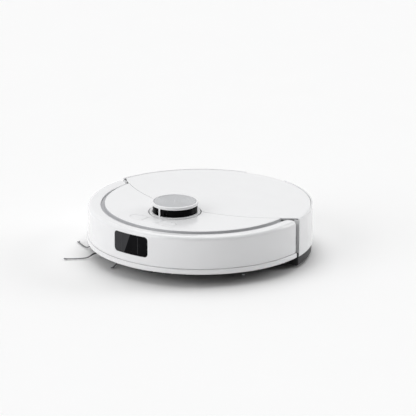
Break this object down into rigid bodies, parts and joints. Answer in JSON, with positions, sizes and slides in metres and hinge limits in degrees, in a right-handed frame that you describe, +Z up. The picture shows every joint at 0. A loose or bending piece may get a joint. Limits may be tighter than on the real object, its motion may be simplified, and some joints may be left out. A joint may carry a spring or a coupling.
{
  "type": "robot vacuum cleaner",
  "caption": "Round robot vacuum with a laser turret, a spring front bumper with a dark sensor window, a hinged lid, a side brush, a main brush and a mop pad.",
  "frame": {"origin": "on the floor, under the middle of the round body", "axes": "+Z up, -Y the direction in which the robot drives forward, +X the robot's left-hand side"},
  "size_m": [0.3552, 0.352, 0.097],
  "materials": {
    "white_shell": "glossy moulded plastic, slightly cool white",
    "white_trim": "satin moulded plastic",
    "black_glass": "polished black infrared-clear plastic",
    "dark_plastic": "fine textured",
    "grey_plastic": "fine textured",
    "spun_metal": "spun, with turning lines",
    "contact_plate": "plated and polished",
    "tyre_rubber": "moulded tread",
    "bristle": "soft fibre and rubber",
    "brush_rubber": "soft fins",
    "circuit_board": "solder resist",
    "battery_wrap": "shrink wrap",
    "filter_paper": "pleated",
    "smoked_clear": "smoked, see-through on the real one",
    "mop_fabric": "looped microfibre"
  },
  "bodies": {
    "chassis": {"base_pan": "dark_plastic", "chassis_ring": "dark_plastic", "inner_deck": "grey_plastic", "rear_shell": "white_shell", "front_plate": "white_shell", "contact_left": "contact_plate", "contact_right": "contact_plate", "rear_ir_window": "black_glass", "lidar_base": "dark_plastic", "suspension_bracket_left": "dark_plastic", "suspension_bracket_right": "dark_plastic", "caster_socket": "dark_plastic", "brush_housing": "grey_plastic", "brush_cover": "grey_plastic", "suction_duct": "dark_plastic", "side_brush_motor": "grey_plastic", "dust_bin": "smoked_clear", "filter": "filter_paper", "battery": "battery_wrap", "main_board": "circuit_board", "fan_housing": "dark_plastic", "mop_bracket": "dark_plastic", "mop_cloth": "mop_fabric", "cliff_sensor_left_1": "black_glass", "cliff_sensor_left_2": "black_glass", "cliff_sensor_right_1": "black_glass", "cliff_sensor_right_2": "black_glass"},
    "bumper": {"bumper": "white_shell", "bumper_lip": "white_shell", "sensor_window": "black_glass", "sensor_module": "dark_plastic"},
    "lid": {"lid": "white_shell", "lid_rail_left": "grey_plastic", "lid_rail_right": "grey_plastic"},
    "power_button": {"button_power": "white_trim"},
    "dock_button": {"button_dock": "white_trim"},
    "spot_button": {"button_spot": "white_trim"},
    "turret_cover": {"turret_ring": "white_trim", "turret_cap": "white_trim", "turret_disc": "spun_metal", "turret_strut_1": "white_trim", "turret_strut_2": "white_trim", "turret_strut_3": "white_trim"},
    "lidar": {"lidar_head": "black_glass"},
    "left_suspension": {"suspension_arm_left": "grey_plastic"},
    "right_suspension": {"suspension_arm_right": "grey_plastic"},
    "left_wheel": {"wheel_rim_left": "grey_plastic", "wheel_tyre_left": "tyre_rubber"},
    "right_wheel": {"wheel_rim_right": "grey_plastic", "wheel_tyre_right": "tyre_rubber"},
    "caster": {"caster_fork": "grey_plastic"},
    "caster_roller": {"caster_wheel": "tyre_rubber"},
    "main_brush": {"main_brush": "brush_rubber"},
    "side_brush": {"side_brush_hub": "grey_plastic", "side_brush_arm_1": "bristle", "side_brush_arm_2": "bristle", "side_brush_arm_3": "bristle", "side_brush_arm_4": "bristle", "side_brush_arm_5": "bristle"},
    "fan": {"fan_impeller": "grey_plastic"}
  },
  "joints": [
    {"name": "bumper_press", "type": "slide", "parent": "chassis", "child": "bumper", "axis": [0, 1, 0], "range_m": [0, 0.004], "stiffness_N_per_m": 300, "springref_m": -0.004},
    {"name": "lid_hinge", "type": "hinge", "parent": "chassis", "child": "lid", "pos_m": [0, -0.028, 0.08], "axis": [1, 0, 0], "range_deg": [0, 75]},
    {"name": "power_button_press", "type": "slide", "parent": "chassis", "child": "power_button", "axis": [0, 0, -1], "range_m": [0, 0.0008], "stiffness_N_per_m": 400, "springref_m": -0.0006},
    {"name": "dock_button_press", "type": "slide", "parent": "chassis", "child": "dock_button", "axis": [0, 0, -1], "range_m": [0, 0.0008], "stiffness_N_per_m": 400, "springref_m": -0.0006},
    {"name": "spot_button_press", "type": "slide", "parent": "chassis", "child": "spot_button", "axis": [0, 0, -1], "range_m": [0, 0.0008], "stiffness_N_per_m": 400, "springref_m": -0.0006},
    {"name": "turret_cover_press", "type": "slide", "parent": "chassis", "child": "turret_cover", "axis": [0, 0, -1], "range_m": [0, 0.0015], "stiffness_N_per_m": 1200, "springref_m": -0.001},
    {"name": "lidar_spin", "type": "hinge", "parent": "chassis", "child": "lidar", "pos_m": [0, -0.064, 0.085], "axis": [0, 0, 1], "continuous": true},
    {"name": "left_suspension_travel", "type": "hinge", "parent": "chassis", "child": "left_suspension", "pos_m": [0.112, -0.033, 0.044], "axis": [-1, 0, 0], "range_deg": [0, 15], "stiffness_Nm_per_rad": 0.1, "springref_deg": 45.84},
    {"name": "right_suspension_travel", "type": "hinge", "parent": "chassis", "child": "right_suspension", "pos_m": [-0.112, -0.033, 0.044], "axis": [-1, 0, 0], "range_deg": [0, 15], "stiffness_Nm_per_rad": 0.1, "springref_deg": 45.84},
    {"name": "left_wheel_spin", "type": "hinge", "parent": "left_suspension", "child": "left_wheel", "pos_m": [0.112, 0.005, 0.0325], "axis": [1, 0, 0], "continuous": true},
    {"name": "right_wheel_spin", "type": "hinge", "parent": "right_suspension", "child": "right_wheel", "pos_m": [-0.112, 0.005, 0.0325], "axis": [1, 0, 0], "continuous": true},
    {"name": "caster_swivel", "type": "hinge", "parent": "chassis", "child": "caster", "pos_m": [0, -0.132, 0.02], "axis": [0, 0, 1], "continuous": true},
    {"name": "caster_roll", "type": "hinge", "parent": "caster", "child": "caster_roller", "pos_m": [0, -0.128, 0.0085], "axis": [1, 0, 0], "continuous": true},
    {"name": "main_brush_spin", "type": "hinge", "parent": "chassis", "child": "main_brush", "pos_m": [0, -0.068, 0.0245], "axis": [1, 0, 0], "continuous": true},
    {"name": "side_brush_spin", "type": "hinge", "parent": "chassis", "child": "side_brush", "pos_m": [-0.103, -0.1, 0.008], "axis": [0, 0, 1], "continuous": true},
    {"name": "fan_spin", "type": "hinge", "parent": "chassis", "child": "fan", "pos_m": [0.106, 0.08, 0.045], "axis": [0, 0, 1], "continuous": true}
  ]
}
